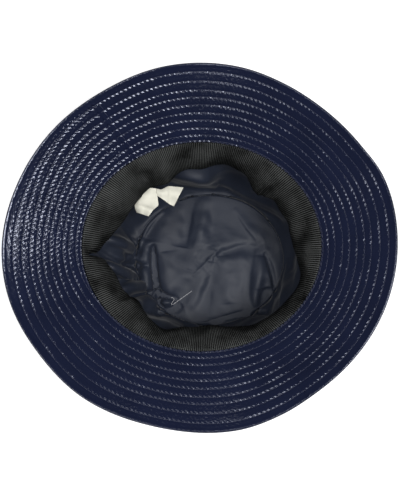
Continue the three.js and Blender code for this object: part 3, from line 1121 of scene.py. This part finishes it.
def grosgrain():
    """Black ribbed ribbon, with painted highlight on its ribs and painted shade in the furrows between.
    It is worn in places, and has painted shade that deepens toward its free edge."""
    finish = Finish("black grosgrain")
    flat = finish.node("UVMap", {"uv_map": "cloth"})
    parts = finish.node("SeparateXYZ", {}, {0: flat})
    across = Wire(finish, parts.socket.node.outputs[1])
    ribs = finish.node("Math", {"operation": "SINE"}, {0: parts * (2 * math.pi / rib_pitch)})
    picks = finish.node("Math", {"operation": "SINE"}, {0: across * (2 * math.pi / pick_pitch)})
    fuzz = finish.noise(1500.0, 3.0)
    wear = finish.noise(60.0, 3.0)
    # Painted highlight on the rib crests and painted shade in the furrows. The wear is random tone, and
    # the last factor paints shade from the sewn edge toward the free edge
    painted_rib_light = (0.5 + 0.5 * ribs) ** 1.5 * (0.6 + 0.4 * picks)
    shown = painted_rib_light * (3.2 * wear - 0.7) * (1.45 - 25.0 * across)
    return finish.cover(
        Base_Color=finish.between(shown, ribbon_painted_furrow_shade, ribbon_painted_crest_light),
        Roughness=0.8,
        IOR=1.12,
        Normal=finish.bumped(picks * 0.5 + fuzz, 0.08 * mm),
    )


opening_round = 2 * math.pi * math.sqrt(float(opening_oval[1] @ opening_oval[1]) / 2)
ribs = round(opening_round / rib_pitch)
columns = ribs * rib_columns
angle = np.arange(columns) * 360 / columns
rib = rib_height * np.cos(2 * math.pi * np.arange(columns) / rib_columns)
front = np.linspace(0, 1, ribbon_rows)
rows = [ribbon_point(angle, v, ribbon_wall + rib) for v in front]
back = np.linspace(1, 0, ribbon_back_rows)
rows += [ribbon_point(angle, v, ribbon_back_lift) for v in back]
along = np.arange(columns + 1) * ribs * rib_pitch / columns
across = np.concatenate([front, back, [0]]) * ribbon_width
ribbon = skin("sweatband_ribbon", rows, grosgrain(), round_trip=True, along=along, across=across)
sew_in(ribbon, "ribbon", "sweatband")

# Loose thread: a short end of white sewing thread, left over from the seams. It lies on the tip of
# the lining, with a small loop at one end.
loose_thread_route = (
    (171.0, 297.2), (173.2, 297.6), (174.2, 299.4), (172.8, 301.6), (171.2, 303.4), (171.6, 304.9),
    (174.0, 303.6), (178.0, 300.8), (183.0, 297.2), (187.5, 294.0), (191.7, 291.0),
)
loose_thread_radius = 0.28 * mm
loose_thread_steps = 60
loose_thread_sides = 8
loose_thread_shade = (0.22, 0.22, 0.24, 1)
loose_thread_white = (0.5, 0.5, 0.52, 1)


def white_thread():
    finish = Finish("white thread")
    twist = finish.noise(2200.0)
    return finish.cover(
        Base_Color=finish.between(twist, loose_thread_shade, loose_thread_white),
        Roughness=0.7,
    )


path = []
near = bag[:rim].reshape(-1, 3)
for pixel in along_line(loose_thread_route, np.linspace(0, 1, loose_thread_steps)):
    spot = seen_at(pixel, lining_rest)
    nearest = near[np.argmin(np.linalg.norm(near[:, :2] - spot[:2], axis=1))]
    path.append(np.array([*spot[:2], nearest[2] + loose_thread_radius]))
path = np.array(path)
way = np.gradient(path, axis=0)
side = unit(np.cross(way, (0, 0, 1.0)))
up = unit(np.cross(side, way))
rows = [
    path + loose_thread_radius * (math.cos(turn) * side + math.sin(turn) * up)
    for turn in np.arange(loose_thread_sides) * 2 * math.pi / loose_thread_sides
]
loose_thread = skin("loose_white_thread", rows, white_thread())
sew_in(loose_thread, "label")

# Floor: a plain pale studio floor of smooth paper, just under the crown's tip. It glows a little, so
# that it stays as bare and bright as the photograph's background.
floor_size = 30.0
floor_drop = 0.2 * mm
floor_glow = 0.6
floor_tones = ((0.90, 0.90, 0.90, 1), (0.93, 0.93, 0.93, 1))
pale = Finish("pale floor")
pale_paper = pale.cover(
    Base_Color=pale.between(pale.noise(3.0), *floor_tones),
    Roughness=0.9,
    Emission_Color=(1, 1, 1, 1),
    Emission_Strength=floor_glow,
)
spread = floor_size / 2
plan = ((-spread, -spread), (spread, -spread), (spread, spread), (-spread, spread))
corners = np.array([(x, y, -floor_drop) for x, y in plan])
floor = solid("studio_floor", corners, [[0, 1, 2, 3]], pale_paper)

# Light: five soft square windows high over the hat, in a dim white room. The key window, toward the
# photograph's right, is the strongest. The others wake the glints on the rest of the brim.
room_light = 0.11
window_distance = 1.6

# Each window's azimuth and angle from straight above in degrees, its size and its power
windows = {
    "key_window": (342, 24, 0.5, 17),
    "low_window": (254, 22, 0.36, 2.6),
    "top_window": (95, 24, 0.3, 0.9),
    "left_window": (214, 22, 0.36, 4.5),
    "back_window": (150, 22, 0.36, 4.5),
}
world = bpy.data.worlds.new("studio")
world.use_nodes = True
backdrop = world.node_tree.nodes["Background"]
backdrop.inputs["Color"].default_value = (1, 1, 1, 1)
backdrop.inputs["Strength"].default_value = room_light
bpy.context.scene.world = world


def window(name, azimuth, off_vertical, size, power):
    """A square light that faces the hat."""
    lamp = bpy.data.lights.new(name, "AREA")
    lamp.shape = "SQUARE"
    lamp.size = size
    lamp.energy = power
    lean = math.radians(off_vertical)
    flat = window_distance * math.sin(lean) * outward(azimuth)
    hung_lamp = added(name, lamp)
    hung_lamp.location = (*flat, crown_height + window_distance * math.cos(lean))
    hung_lamp.rotation_euler = (0, lean, math.radians(azimuth))


for name, place_and_strength in windows.items():
    window(name, *place_and_strength)

# Camera: a long lens almost straight above the mouth, leaning a little toward the photograph's
# bottom. Its place is set with the lining, whose folds are laid where it sees them.
lens = bpy.data.cameras.new("camera")
lens.lens = camera_lens
lens.sensor_fit = "HORIZONTAL"
lens.sensor_width = camera_sensor
camera = added("camera", lens)
camera.location = camera_eye
camera.rotation_euler = (camera_tilt, 0, 0)
bpy.context.scene.camera = camera
bpy.context.scene.view_settings.view_transform = "Standard"
